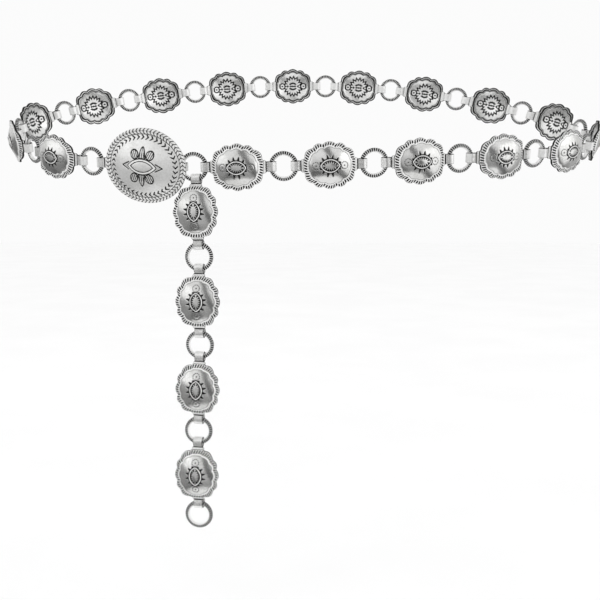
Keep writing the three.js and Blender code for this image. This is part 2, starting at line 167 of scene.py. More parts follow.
# Buckle
BUCKLE_LENGTH = 50.5
BUCKLE_HEIGHT = 43
BUCKLE_THICK = 1.4
BUCKLE_RISE = 5.0
BUCKLE_REACH = 5.25  # from the plate's edge to the wire in its loop
BUCKLE_ROLL = math.radians(-3.5)  # the plate sits a little askew on its loop
BUCKLE_MARK_DEPTH = 0.2
BUCKLE_FROST = 0.45
HOOK_SET_BACK = 4.95  # the hooked wire lies this far in behind the plate's edge
HOOK_THICK = 1.15
HOOK_WIDTH = 4.6
HOOK_TIP = 0.6
HOOK_SHADE = 0.1
HOOK_FROST = 0.5

# Two twisted cords round the buckle
ROPE_WIDTH = 3.3
ROPE_RISE = 0.9
ROPE_TWISTS = 62
RAYS_PER_TWIST = 10
ROPE_SLANT = 0.3
ROPE_CUT = 0.3
ROPE_FROST_AND_HIGHLIGHT = 0.8

# Stamping on the buckle
CHEVRONS = 40
CHEVRON_RING = 0.77  # share of the way from the middle to the edge
CHEVRON_GIRTH = 0.78  # girth of the ring of chevrons, as a share of the buckle's own
BUCKLE_EYE_LENGTH = 17.5
BUCKLE_EYE_HEIGHT = 8.6
BUCKLE_EYE_MARGINS = (1.7, 1.15)  # of the ridge round the eye, along and across
# Petals of the fans: place, half width, half height and lean
PETALS = [(-4.8, 6.65, 2.25, 2.7, 24), (0, 7.95, 2.0, 3.3, 0), (4.8, 6.65, 2.25, 2.7, -24)]
PETAL_RISE = 0.3
HATCH_PITCH = 1.15
ARROW_TIP = 12.4
ARROW_ROOT = 8.0
ARROW_HALF = 2.3

# Loops of the buckle's mesh, in the same order as a concho's
WELL_SHARES = (0.1, 0.3, 0.5, 0.7, 0.85, 0.95, 1.0)
FIELD_SHARES = np.linspace(0, 1, 53)
FINE_FIELD = 0.45  # from this share outward every ray has its point
ROPE_INSETS = (3.1, 2.9, 2.65, 2.4, 2.1, 1.85, 1.68, 1.6, 1.4, 1.15, 0.85, 0.6, 0.35, 0.15, 0.03)
BUCKLE_WALL_LOOPS = [(0.3, 0.03), (0.9, 0.03), (1.25, 0.13)]  # drop, inset
BUCKLE_BACK_SHARES = (0.99, 0.96, 0.92, 0.88, 0.84, *np.linspace(0.8, 0.05, 18))
BACK_LINE_PLACE = 0.86

# Finish, in metres where it is a length
CLOUD_SCALE = 95.0
MOTTLE_SCALE = 900.0
GRIT_SCALE = 3200.0
SCRATCH_SCALE = (500.0, 500.0, 6000.0)
SCRATCH_TURN = (0.2, 0.5, 0.3)
BUMP_DISTANCE = 0.0006
OXIDE_AND_SHADE_BLACK = (0.014, 0.014, 0.0135, 1)
FROST_AND_HIGHLIGHT_WHITE = (0.97, 0.97, 0.965, 1)
FROST_AND_HIGHLIGHT_FILMED = (0.82, 0.82, 0.81, 1)
WHITE = (1, 1, 1, 1)

# Camera and studio, in metres
CAMERA_PLACE = (0.0, -0.5474, -0.0597)
CAMERA_PITCH = math.radians(6.27)
CAMERA_LENS = 47.06
FLOOR_DROP = 0.05
FLOOR_HALF = 6.0
OPEN_WHITE = 1.03  # soft light from all round
SEEN_WHITE = 0.97  # what the camera sees behind the belt

EYE_HALF = WIRE / 2 + EYE_PLAY
STRAP_TOP = EYE_HALF + STRAP_THICK
PLATE_LIFT = STRAP_TOP + STRAP_STEP + END_BENT * END_BEND
CONCHO_CHORD = CONCHO_LENGTH + 2 * STRAP_REACH
DOME_LONG = CONCHO_LENGTH / 2 - END_BENT
DOME_TALL = CONCHO_HEIGHT / 2 - RIM_WIDTH
BUCKLE_LEFT = BUCKLE_LENGTH / 2 + BUCKLE_REACH
BUCKLE_RIGHT = BUCKLE_LENGTH / 2 - HOOK_SET_BACK
BUCKLE_CHORD = BUCKLE_LEFT + BUCKLE_RIGHT
BUCKLE_MIDDLE = (BUCKLE_LEFT - BUCKLE_RIGHT) / 2


def smooth(low, high, value):
    t = np.clip((value - low) / (high - low), 0, 1)
    return t * t * (3 - 2 * t)


def inside(depth, soft=0.13):
    """1 where depth, in millimetres, is well inside an outline, and 0 outside it."""
    return smooth(-soft, soft, depth)


def soft_line(off, width):
    """1 on a line, fading with the distance from it."""
    return np.exp(-((off / width) ** 2))


def from_whole(turn):
    """How far a count of turns is from the nearest whole one."""
    return turn - np.round(turn)


def bow(share):
    """Cross-section of a rounded ridge."""
    return math.sin(math.pi * share)


class Skin:
    """A closed surface sewn from loops of points, with oxide and painted shade, and frosting that also paints
    highlights, at each point.
    """

    def __init__(self):
        self.points = []
        self.oxide_and_shade = []
        self.frost_and_highlight = []
        self.faces = []
        self.count = 0

    def loop(self, points, oxide_and_shade=0.0, frost_and_highlight=0.0):
        first = self.count
        self.points.append(np.asarray(points, float))
        self.oxide_and_shade.append(np.broadcast_to(oxide_and_shade, len(points)))
        self.frost_and_highlight.append(np.broadcast_to(frost_and_highlight, len(points)))
        self.count += len(points)
        return np.arange(first, self.count)

    def band(self, low, high):
        """Faces from one loop up to the next, which may have twice or half as many points."""
        after_low, after_high = np.roll(low, -1), np.roll(high, -1)
        if len(low) == len(high):
            self.faces += np.stack([low, after_low, after_high, high], 1).tolist()
        elif len(low) > len(high):
            odd = low[1::2]
            for trio in ((low[::2], odd, high), (odd, after_high, high), (odd, after_low[1::2], after_high)):
                self.faces += np.stack(trio, 1).tolist()
        else:
            odd = high[1::2]
            for trio in ((low, odd, high[::2]), (low, after_low, odd), (after_low, after_high[1::2], odd)):
                self.faces += np.stack(trio, 1).tolist()

    def tip(self, loop, point, oxide_and_shade=0.0, frost_and_highlight=0.0, below=False):
        (apex,) = self.loop([point], oxide_and_shade, frost_and_highlight)
        for a, b in zip(loop, np.roll(loop, -1)):
            self.faces.append([b, a, apex] if below else [a, b, apex])

    def cap(self, loop, turned):
        self.faces.append(loop[::-1].tolist() if turned else loop.tolist())

    def add(self, other, turn=None):
        shift = self.count
        for points, oxide_and_shade, frost_and_highlight in zip(other.points, other.oxide_and_shade, other.frost_and_highlight):
            self.loop(points if turn is None else points @ turn.T, oxide_and_shade, frost_and_highlight)
        self.faces += [[shift + i for i in face] for face in other.faces]

    def mesh(self, name, finish):
        mesh = bpy.data.meshes.new(name)
        mesh.from_pydata((np.vstack(self.points) * MM).tolist(), [], self.faces)
        for label, values in (("oxide_and_shade", self.oxide_and_shade), ("frost_and_highlight", self.frost_and_highlight)):
            layer = mesh.attributes.new(label, "FLOAT", "POINT")
            layer.data.foreach_set("value", np.concatenate(values).astype(np.float32))
        mesh.polygons.foreach_set("use_smooth", [True] * len(mesh.polygons))
        mesh.materials.append(finish)
        return mesh


class Plate:
    """A plate of loops with their points on fixed rays, from the middle of its face to that of its back."""

    def __init__(self, way, sheet):
        self.way = way
        self.sheet = sheet
        self.skin = Skin()
        self.loops = []

    def spots(self, r):
        return (self.way * r[:, None]).T

    def put(self, step, r, lift, oxide_and_shade, frost_and_highlight):
        """A loop on every so many rays, lifted off the sheet."""
        x, y = self.spots(r)
        points = np.column_stack([x, y, np.broadcast_to(self.sheet(x) + lift, len(x))])
        oxide_and_shade, frost_and_highlight = (np.broadcast_to(value, len(x))[::step] for value in (oxide_and_shade, frost_and_highlight))
        self.loops.append(self.skin.loop(points[::step], oxide_and_shade, frost_and_highlight))

    def close(self, top, thick, face_frost, back_shade, back_frost):
        for low, high in zip(self.loops[1:], self.loops):
            self.skin.band(low, high)
        self.skin.tip(self.loops[0], (0, 0, top), 0.0, face_frost)
        self.skin.tip(self.loops[-1], (0, 0, top - thick), back_shade, back_frost, below=True)
        return self.skin


def ellipse_reach(way, half_length, half_height):
    return 1 / np.hypot(way[:, 0] / half_length, way[:, 1] / half_height)


def lens_curve(half_length, half_height):
    """Radius of the two arcs of a pointed lens, and how far their middles lie from its own."""
    radius = (half_length**2 + half_height**2) / (2 * half_height)
    return radius, radius - half_height


def lens_reach(way, half_length, half_height):
    radius, set_off = lens_curve(half_length, half_height)
    rise = np.abs(way[:, 1])
    return np.sqrt(radius**2 - (set_off * way[:, 0]) ** 2) - set_off * rise


def past_lens(x, y, half_length, half_height):
    """How far a place lies outside a lens, measured along its ray from the middle."""
    r = np.hypot(x, y)
    way = np.stack([x, y], 1) / np.maximum(r, 1e-6)[:, None]
    return r - lens_reach(way, half_length, half_height)


def dome(x, y, half_length, half_height, rise):
    share = (x / half_length) ** 2 + (y / half_height) ** 2
    return rise * np.clip(1 - share, 0, 1)


def wedge(x, y, root, tip, width):
    """A stamped wedge that narrows from its root to its tip."""
    run = np.subtract(tip, root)
    length = np.hypot(*run)
    along = ((x - root[0]) * run[0] + (y - root[1]) * run[1]) / length
    off = np.abs((x - root[0]) * run[1] - (y - root[1]) * run[0]) / length
    half = width / 2 * (1 - np.clip(along / length, 0, 1) ** 2)
    return inside(half - off) * smooth(-0.2, 0, along) * (1 - smooth(length - 0.2, length + 0.1, along))


def stamped_ring(x, y, middle, radius, width, dots):
    dx, dy = x - middle, y
    turn = np.arctan2(dy, dx)
    line = inside(width / 2 - np.abs(np.hypot(dx, dy) - radius))
    return line * (0.75 + 0.25 * np.cos(dots * turn))


def wedges_on_lens(x, y, half_length, half_height, rows, outward):
    """Wedges that stand on both arcs of a lens; rows give place along, length and width."""
    radius, set_off = lens_curve(half_length, half_height)
    mark = np.zeros_like(x)
    for place, length, width in rows:
        for sign in (-1, 1):
            rise = math.sqrt(radius**2 - place**2) - set_off
            way = np.array([place, rise + set_off]) / radius * length * outward
            root = np.array([place, rise])
            mark = np.maximum(mark, wedge(x, sign * y, root, root + way, width))
    return mark


def front_marks(x, y):
    """Dark stamping on a concho's dome."""
    inner = (EYE_LENGTH / 2 - EYE_RIDGE_WIDTH, EYE_HEIGHT / 2 - EYE_RIDGE_WIDTH)
    rays = wedges_on_lens(x, y, EYE_LENGTH / 2, EYE_HEIGHT / 2, RAYS, 1)
    teeth = wedges_on_lens(x, y, *inner, TEETH, -1)
    groove = soft_line(past_lens(x, y, EYE_LENGTH / 2, EYE_HEIGHT / 2) - 0.12, 0.3)
    groove = groove + soft_line(past_lens(x, y, *inner) + 0.12, 0.26)
    rings = 0.0
    for side in (-1, 1):
        rings = rings + 0.5 * stamped_ring(x, y, side * CIRCLE_PLACE, CIRCLE_RADIUS, 0.6, CIRCLE_DOTS)
        rings = rings + 0.4 * inside(0.55 - np.hypot(x - side * CIRCLE_PLACE, y))
    return np.clip(np.max([rays, teeth, 0.92 * groove, rings], axis=0), 0, 1)


def crown_depth(x, y):
    """How far inside the toothed disc that the rays leave on the hollow side, in millimetres."""
    r = np.hypot(x, y)
    off = 2 * np.abs((np.arctan2(y, x) / (2 * math.pi) * CROWN_TEETH) % 1 - 0.5)
    half_pitch = math.pi * CROWN_ROOT / CROWN_TEETH
    return half_pitch * (1.1 - (r - CROWN_ROOT) / CROWN_RUN - off)


def from_back_circle(x, y):
    return np.hypot(np.abs(x) - BACK_CIRCLE_PLACE, y)


def back_marks(x, y):
    """What the stamping leaves on the hollow side: the outline of a crown, two circles and a slit."""
    aside = from_back_circle(x, y)
    crown = inside(0.34 - np.abs(crown_depth(x, y) + 0.15)) * smooth(2.3, 2.7, aside)
    slit = inside(SLIT_HALF_HEIGHT * (1 - np.abs(x) / SLIT_HALF_LENGTH) - np.abs(y))
    lens = 0.7 * inside(0.4 - np.abs(past_lens(x, y, *BACK_LENS)))
    circle = inside(0.36 - np.abs(aside - BACK_CIRCLE_RADIUS))
    return np.max([crown, slit, lens, circle, 0.8 * inside(0.6 - aside)], axis=0)


def back_frost(x, y):
    """The crown and the middles of the circles are paler than the rest of the hollow."""
    pale = np.maximum(inside(crown_depth(x, y)), inside(1.8 - from_back_circle(x, y)))
    return BACK_FROST + (CROWN_FROST - BACK_FROST) * pale


def scalloped_edge():
    """Points of the edge, counter-clockwise, and how many notches there are up to each."""
    table = np.array(LOBES)
    mirrored = table[::-1] * (-1, 1, 1)
    mirrored[:, 2] = np.append(table[-2::-1, 2], 0)
    upper = np.vstack([table, mirrored])
    corners = np.vstack([upper, upper * (-1, -1, 1)])
    corners *= (CONCHO_LENGTH / 2, CONCHO_HEIGHT / 2, CONCHO_HEIGHT / 2)
    points, notches, passed = [], [], 0
    for a, b in zip(corners, np.roll(corners, -1, axis=0)):
        run = (b - a)[:2]
        length = np.hypot(*run)
        count = max(1, round(length / NOTCH_PITCH))
        t = np.arange(count * RAYS_PER_NOTCH) / (count * RAYS_PER_NOTCH)
        out = a[2] * 4 * t * (1 - t)
        normal = np.array([run[1], -run[0]]) / length
        points.append(a[:2] + t[:, None] * run + out[:, None] * normal)
        notches.append(passed + t * count)
        passed += count
    return np.vstack(points), np.concatenate(notches)


def bent_sheet(x):
    """Height of the plate, whose two ends turn back."""
    past = (np.abs(x) - DOME_LONG) / BEND_SOFT
    return PLATE_LIFT - END_BEND * BEND_SOFT * np.logaddexp(0, past)


def flat_sheet(x):
    return np.full_like(x, PLATE_LIFT)


def rim_marks(notch, share):
    """Slanting black cuts across the rim band, as in a rope, and a shaded outer edge."""
    near = np.abs(from_whole(notch - CUT_SLANT * (share - 0.5)))
    run = smooth(0.09, 0.2, share) * (1 - smooth(0.78, 0.91, share))
    return np.maximum(inside(CUT_HALF - near, 0.1) * run, 0.35 * (1 - smooth(0.02, 0.1, share)))


def smoothed(values, window):
    """Running mean round a closed loop."""
    wide = np.concatenate([values[-window:], values, values[:window]])
    return np.convolve(wide, np.ones(window) / window, "same")[window:-window]


def concho_dome(x, y):
    return RIM_BEAD + dome(x, y, DOME_LONG, DOME_TALL, DOME_RISE)


def concho_plate():
    edge, notch = scalloped_edge()
    reach = np.hypot(*edge.T)
    way = edge / reach[:, None]
    lens_in = lens_reach(way, EYE_LENGTH / 2 - EYE_RIDGE_WIDTH, EYE_HEIGHT / 2 - EYE_RIDGE_WIDTH)
    lens_out = lens_reach(way, EYE_LENGTH / 2, EYE_HEIGHT / 2)
    lobes = reach - smoothed(reach, 2 * (len(edge) // 24) + 1)
    bead = ellipse_reach(way, DOME_LONG, DOME_TALL) + BEAD_FOLLOWS * lobes
    bead_in, bead_out = bead - BEAD_WIDTH / 2, bead + BEAD_WIDTH / 2
    outer = reach - NOTCH_CUT * soft_line(from_whole(notch), 0.2)
    plate = Plate(way, bent_sheet)

    def stamped(step, r, foot=0.0):
        spots = plate.spots(r)
        marks = front_marks(*spots)
        plate.put(step, r, concho_dome(*spots) - STAMP_DEPTH * marks, np.maximum(marks, foot), 0.0)

    def raised(step, r, rise, frost_and_highlight):
        plate.put(step, r, rise + concho_dome(*plate.spots(r)), 0.0, frost_and_highlight)

    for step, share in EYE_LOOPS:
        stamped(step, lens_in * share)
    # Frosted white on the raised eye ridge, which also paints its highlight
    for share in RIDGE_SHARES:
        raised(2, lens_in + (lens_out - lens_in) * share, EYE_RIDGE * bow(share), RIDGE_FROST_AND_HIGHLIGHT)
    for share in DOME_SHARES:
        stamped(2, lens_out + (bead_in - lens_out) * share, 0.5 * smooth(0.95, 0.99, share))
    # Frosted white on the raised bead line, which also paints its highlight
    for share in RIDGE_SHARES:
        rise = BEAD_RISE * bow(share) - RIM_BEAD * share
        raised(1, bead_in + (bead_out - bead_in) * share, rise, BEAD_FROST_AND_HIGHLIGHT)
    # The rim is frosted white all over, which also paints its highlight; its rope cuts are dark and its outer
    # edge has painted shade
    for share in RIM_SHARES:
        dark = rim_marks(notch, share)
        plate.put(1, outer + (bead_out - outer) * share, RIM_LIFT - CUT_DEPTH * dark, dark, 1.0)
    # Painted shade on the plate's outer wall
    for drop, inset in WALL_LOOPS:
        plate.put(1, outer - inset, -drop, WALL_SHADE, WALL_FROST)
    for inset, lift, dark in BACK_LINES:
        plate.put(1, reach - inset, lift - CONCHO_THICK, dark, BACK_FROST)
    for inset, lift, dark in FOOT_LINES:
        plate.put(2, bead + inset, lift - CONCHO_THICK, dark, BACK_FROST)
    for share in HOLLOW_SHARES:
        spots = plate.spots(bead * share)
        marks = back_marks(*spots)
        lift = concho_dome(*spots) - CONCHO_THICK + STAMP_DEPTH * marks
        plate.put(2, bead * share, lift, marks, back_frost(*spots))
    return plate.close(PLATE_LIFT + RIM_BEAD + DOME_RISE, CONCHO_THICK, 0.0, 0.9, BACK_FROST)


def rounded(path, times=2):
    """A path with its corners cut, ends kept."""
    path = np.asarray(path, float)
    for _ in range(times):
        a, b = path[:-1], path[1:]
        cut = np.stack([0.75 * a + 0.25 * b, 0.25 * a + 0.75 * b], 1).reshape(-1, 2)
        path = np.vstack([path[:1], cut, path[-1:]])
    return path


def strip(path, widths, thick, oxide_and_shade, frost_and_highlight):
    """A flat strip with eased edges along a path in the X-Z plane."""
    skin = Skin()
    run = np.gradient(path, axis=0)
    run /= np.hypot(*run.T)[:, None]
    side = np.column_stack([-run[:, 1], run[:, 0]])
    h, e = thick / 2, STRAP_EDGE
    loops = []
    for (x, z), (nx, nz), width, dark, pale in zip(path, side, widths, oxide_and_shade, frost_and_highlight):
        w = width / 2
        section = [(w, h - e), (w - e, h), (w - 3 * e, h), (3 * e - w, h), (e - w, h), (-w, h - e),
                   (-w, e - h), (e - w, -h), (3 * e - w, -h), (w - 3 * e, -h), (w - e, -h), (w, e - h)]
        # Painted shade along the two sides of the strip
        shade = [SIDE_SHADE if abs(y) == w else dark for y, _ in section]
        loops.append(skin.loop([(x + nx * t, y, z + nz * t) for y, t in section], shade, pale))
    for low, high in zip(loops, loops[1:]):
        skin.band(low, high)
    skin.cap(loops[0], True)
    skin.cap(loops[-1], False)
    return skin


def ring_curve(width):
    r = RING_DIAMETER / 2
    return r - math.sqrt(r * r - (width / 2) ** 2)


def strap(wire, plate_end, root):
    """A strap from under the right end of a plate round the wire and back to its own heel."""
    r = EYE_HALF + STRAP_THICK / 2
    far = wire + ring_curve(STRAP_WIDTH)

    def arc(middle, start, end, steps):
        turn = np.radians(np.linspace(start, end, steps))
        return [(middle + r * math.cos(a), r * math.sin(a)) for a in turn]

    crease = (wire - 0.98 * r, 0.5 * r)
    lead = rounded([root, (plate_end, root[1] - 0.1), (plate_end + 0.3, crease[1] + 0.25), crease])
    path = np.array([*lead, *arc(wire, 132, 90, 6), *arc(far, 88, -90, 19), *arc(wire, -92, -188, 9)])
    x, z = path.T
    looped = np.arange(len(path)) > len(lead)
    width = SHOULDER_WIDTH + (STRAP_WIDTH - SHOULDER_WIDTH) * smooth(plate_end + 0.5, plate_end + 1.7, x)
    width = np.where(looped, STRAP_WIDTH, width)
    over = looped & (z > 0) & (x < far + 0.6)
    gap = np.hypot(x - crease[0], z - crease[1])
    # Painted shade in the crease by the plate and where the strap lies over the wire; the shoulder's frosted
    # white also paints a highlight
    dark = np.maximum(CREASE_SHADE * soft_line(gap, CREASE_WIDTH), WRAP_SHADE * over)
    return strip(path, width, STRAP_THICK, dark, np.where(over, WRAP_FROST, SHOULDER_FROST_AND_HIGHLIGHT))


HALF_TURN = np.diag([-1.0, -1.0, 1.0])


def concho_skin():
    skin = concho_plate()
    right = strap(CONCHO_CHORD / 2, CONCHO_LENGTH / 2, (CONCHO_LENGTH / 2 - 1.2, 1.95))
    skin.add(right)
    skin.add(right, HALF_TURN)
    return skin


def ring_skin():
    skin = Skin()
    steps = RING_RIBS * STEPS_PER_RIB
    turn = np.arange(steps) / steps * 2 * math.pi
    loops = []
    for k in range(WIRE_STEPS):
        tilt = k / WIRE_STEPS * 2 * math.pi
        ribbed = float(smooth(-0.75, -0.15, math.cos(tilt)))
        rib = 0.5 - 0.5 * np.cos(RING_RIBS * turn)
        wire = WIRE / 2 - RIB_DEPTH * ribbed * rib
        r = RING_DIAMETER / 2 + wire * math.cos(tilt)
        z = wire * math.sin(tilt)
        dark = RIB_SHADE * ribbed * smooth(0.2, 0.5, rib)
        loops.append(skin.loop(np.column_stack([r * np.cos(turn), r * np.sin(turn), z]), dark, RIB_FROST))
    for low, high in zip(loops, [*loops[1:], loops[0]]):
        skin.band(low, high)
    return skin


def buckle_face(x, y):
    field = (BUCKLE_LENGTH / 2 - ROPE_WIDTH, BUCKLE_HEIGHT / 2 - ROPE_WIDTH)
    return ROPE_RISE / 2 + dome(x, y, *field, BUCKLE_RISE)


def petal_marks(x, y):
    """Outline and hatching of the petals, and how far each is raised."""
    dark, lift = np.zeros_like(x), np.zeros_like(x)
    for sign in (-1, 1):
        for px, py, wide, tall, lean in PETALS:
            c, s = math.cos(math.radians(-lean)), math.sin(math.radians(-lean))
            dx, dy = sign * x - px, sign * y - py
            u, v = c * dx - s * dy, s * dx + c * dy
            if lean == 0:
                half = wide * np.clip(1 - (v + tall) / (2 * tall), 0, 1) ** 0.45
                depth = np.min([half - np.abs(u), v + tall, tall - v], axis=0)
            else:
                depth = (1 - np.hypot(u / wide, v / tall)) * wide
            line = inside(0.3 - np.abs(depth))
            stripes = 0.12 + 0.6 * smooth(-0.2, 0.5, np.cos(2 * math.pi * u / HATCH_PITCH))
            dark = np.max([dark, line, inside(depth - 0.35) * stripes], axis=0)
            lift = np.maximum(lift, PETAL_RISE * smooth(0, 0.5, depth))
    return dark, lift


def arrow_marks(x, y):
    along = (ARROW_TIP - np.abs(x)) / (ARROW_TIP - ARROW_ROOT)
    depth = ARROW_HALF * along - np.abs(y)
    solid = 0.35 * inside(depth) * (along < 1)
    line = inside(0.32 - np.abs(depth)) * (along < 1) * (along > -0.05)
    return np.maximum(solid, line)


def chevron_marks(share, off):
    """Chevrons that point clockwise; share counts them round the ring, off is across it."""
    pitch = CHEVRON_GIRTH * math.pi * (BUCKLE_LENGTH + BUCKLE_HEIGHT) / 2 / CHEVRONS
    along = pitch * (0.5 - share % 1)
    aside = np.abs(off)
    line = inside(0.41 - 0.08 * aside - np.abs(along - (0.75 - aside)) * 0.72)
    return line * (1 - smooth(1.2, 1.5, aside))


def equal_steps(half_length, half_height, count):
    """Directions of points at equal steps round an ellipse."""
    t = np.linspace(0, 2 * math.pi, 4000)
    line = np.column_stack([half_length * np.cos(t), half_height * np.sin(t)])
    run = np.concatenate([[0], np.cumsum(np.hypot(*np.diff(line, axis=0).T))])
    at = np.arange(count) / count * run[-1]
    points = np.column_stack([np.interp(at, run, line[:, 0]), np.interp(at, run, line[:, 1])])
    return points / np.hypot(*points.T)[:, None]


def buckle_plate():
    count = ROPE_TWISTS * RAYS_PER_TWIST
    place = np.arange(count) / count
    way = equal_steps(BUCKLE_LENGTH / 2, BUCKLE_HEIGHT / 2, count)
    edge = ellipse_reach(way, BUCKLE_LENGTH / 2, BUCKLE_HEIGHT / 2)
    field_edge = edge - ROPE_WIDTH
    along, across = BUCKLE_EYE_MARGINS
    outer_eye = lens_reach(way, BUCKLE_EYE_LENGTH / 2, BUCKLE_EYE_HEIGHT / 2)
    inner_eye = lens_reach(way, BUCKLE_EYE_LENGTH / 2 - along, BUCKLE_EYE_HEIGHT / 2 - across)
    plate = Plate(way, flat_sheet)

    def field(step, r):
        spots = plate.spots(r)
        petals, raised = petal_marks(*spots)
        chevrons = chevron_marks(place * CHEVRONS, r - CHEVRON_RING * edge)
        groove = soft_line(r - outer_eye - 0.1, 0.32)
        well = soft_line(r - inner_eye + 0.15, 0.3)
        rope_foot = 0.8 * soft_line(field_edge - r, 0.3)
        dark = np.max([chevrons, petals, arrow_marks(*spots), groove, well, rope_foot], axis=0)
        plate.put(step, r, buckle_face(*spots) + raised - BUCKLE_MARK_DEPTH * dark, dark, BUCKLE_FROST)

    for share in WELL_SHARES:
        field(2, inner_eye * share)
    # Frosted white on the buckle's raised eye ridge, which also paints its highlight
    for share in RIDGE_SHARES:
        r = inner_eye + (outer_eye - inner_eye) * share
        plate.put(2, r, buckle_face(*plate.spots(r)) + EYE_RIDGE * bow(share), 0.0, 0.8)
    for share in FIELD_SHARES:
        field(2 if share < FINE_FIELD else 1, outer_eye + (field_edge - outer_eye) * share)
    # The raised cords are frosted white, which also paints their highlight
    cord = ROPE_WIDTH / 4
    for inset in ROPE_INSETS:
        middle, sign = (3 * cord, 1) if inset > 2 * cord else (cord, -1)
        off = (inset - middle) / cord
        rise = ROPE_RISE * math.sqrt(max(0, 1 - off**2))
        groove = soft_line(from_whole(place * ROPE_TWISTS + sign * ROPE_SLANT * off), 0.2)
        dark = np.maximum(0.75 * groove, 0.6 * abs(off) ** 6)
        plate.put(1, edge - inset, rise - ROPE_CUT * groove, dark, ROPE_FROST_AND_HIGHLIGHT)
    for drop, inset in BUCKLE_WALL_LOOPS:
        plate.put(2, edge - inset, -drop, 0.2, 0.5)
    under = BUCKLE_THICK + ROPE_RISE / 2
    for share in BUCKLE_BACK_SHARES:
        r = edge * share
        line = 0.6 * soft_line(share - BACK_LINE_PLACE, 0.015)
        plate.put(2, r, buckle_face(*plate.spots(r)) - under, line, BACK_FROST)
    return plate.close(PLATE_LIFT + ROPE_RISE / 2 + BUCKLE_RISE, under, BUCKLE_FROST, 0.0, BACK_FROST)


def hook_strip():
    wire = BUCKLE_CHORD / 2
    heel = wire - EYE_HALF - HOOK_THICK / 2
    nose = wire + EYE_HALF + ring_curve(HOOK_WIDTH) + HOOK_THICK / 2
    root = PLATE_LIFT + float(buckle_face(wire - BUCKLE_MIDDLE - EYE_HALF, 0)) - BUCKLE_THICK
    under = -EYE_HALF - HOOK_THICK / 2
    path = rounded([(heel, root), (heel, under), (nose, under), (nose, HOOK_TIP)], 3)
    width, shade, frost_and_highlight = (np.full(len(path), value) for value in (HOOK_WIDTH, HOOK_SHADE, HOOK_FROST))
    return strip(path, width, HOOK_THICK, shade, frost_and_highlight)


def buckle_skin():
    skin = Skin()
    c, s = math.cos(BUCKLE_ROLL), math.sin(BUCKLE_ROLL)
    rolled = np.array([[c, -s, 0], [s, c, 0], [0, 0, 1]])
    plate = buckle_plate()
    plate.points = [p @ rolled.T + (BUCKLE_MIDDLE, 0, 0) for p in plate.points]
    skin.add(plate)
    plate_end = BUCKLE_CHORD / 2 - BUCKLE_REACH
    skin.add(strap(BUCKLE_CHORD / 2, plate_end + 0.6, (plate_end - 1.6, 3.6)), HALF_TURN)
    skin.add(hook_strip())
    return skin


def waist_point(angle, depth):
    """A point of the oval round which the chain closes on itself."""
    share = sum(c * math.cos(n * angle) + s * math.sin(n * angle) for n, c, s in HEIGHT_WAVES)
    across = WAIST_WIDTH / 2 * math.cos(angle) + WAIST_EGG * math.cos(2 * angle)
    return Vector((across, depth / 2 * math.sin(angle), WAIST_TILT * share))


def bisect(low, high, is_low):
    for _ in range(BISECTIONS):
        middle = (low + high) / 2
        if is_low(middle):
            low = middle
        else:
            high = middle
    return (low + high) / 2


def walk(depth, chords):
    angles = [HOOK_ANGLE]
    for chord in chords:
        start = waist_point(angles[-1], depth)
        angles.append(bisect(angles[-1], angles[-1] + LINK_TURN,
                             lambda angle: (waist_point(angle, depth) - start).length < chord))
    return angles


def waist_joints():
    chords = [RING_DIAMETER, CONCHO_CHORD] * WAIST_CONCHOS + [RING_DIAMETER, BUCKLE_CHORD]
    closed = HOOK_ANGLE + 2 * math.pi
    depth = bisect(sum(chords) / 2, sum(chords) / 20, lambda depth: walk(depth, chords)[-1] < closed)
    return [waist_point(angle, depth) for angle in walk(depth, chords)]


def place(middle, along, out):
    across = out.cross(along)
    turn = Matrix((along, across, out)).transposed().to_4x4()
    return Matrix.Translation(middle * MM) @ turn


def between(a, b):
    middle = (a + b) / 2
    upright = Vector((LINK_FLARE * middle.x / (WAIST_WIDTH / 2), -LINK_LEAN, 1))
    along = (b - a).normalized()
    return middle, along, along.cross(upright).normalized()


class Value:
    """A number that varies over a surface, so that shader sums are written as sums."""

    def __init__(self, tree, socket):
        self.tree = tree
        self.socket = socket

    def maths(self, operation, first, second):
        return self.tree.node("ShaderNodeMath", {"operation": operation}, {0: first, 1: second})

    def __add__(self, other):
        return self.maths("ADD", self, other)

    def __radd__(self, other):
        return self.maths("ADD", other, self)

    def __sub__(self, other):
        return self.maths("SUBTRACT", self, other)

    def __rsub__(self, other):
        return self.maths("SUBTRACT", other, self)

    def __mul__(self, other):
        return self.maths("MULTIPLY", self, other)


class Tree:
    """A node tree with one way to add a node: its type, its settings, then its sockets."""

    def __init__(self, tree):
        self.tree = tree
        tree.nodes.clear()

    def node(self, kind, settings=None, sockets=None, output=0):
        node = self.tree.nodes.new(kind)
        for key, value in (settings or {}).items():
            setattr(node, key, value)
        for key, value in (sockets or {}).items():
            if isinstance(value, Value):
                self.tree.links.new(value.socket, node.inputs[key])
            else:
                node.inputs[key].default_value = value
        return Value(self, node.outputs[output]) if len(node.outputs) else node

    def noise(self, place, scale, detail=3.0, rough=0.55):
        return self.node("ShaderNodeTexNoise", {}, {"Vector": place, "Scale": scale, "Detail": detail,
                                                    "Roughness": rough})

    def range(self, value, low, high, bottom=0.0, top=1.0):
        return self.node("ShaderNodeMapRange", {"interpolation_type": "SMOOTHSTEP"},
                         {"Value": value, "From Min": low, "From Max": high, "To Min": bottom, "To Max": top})

    def mix(self, share, first, second):
        return self.node("ShaderNodeMix", {"data_type": "RGBA"}, {0: share, 6: first, 7: second}, output=2)


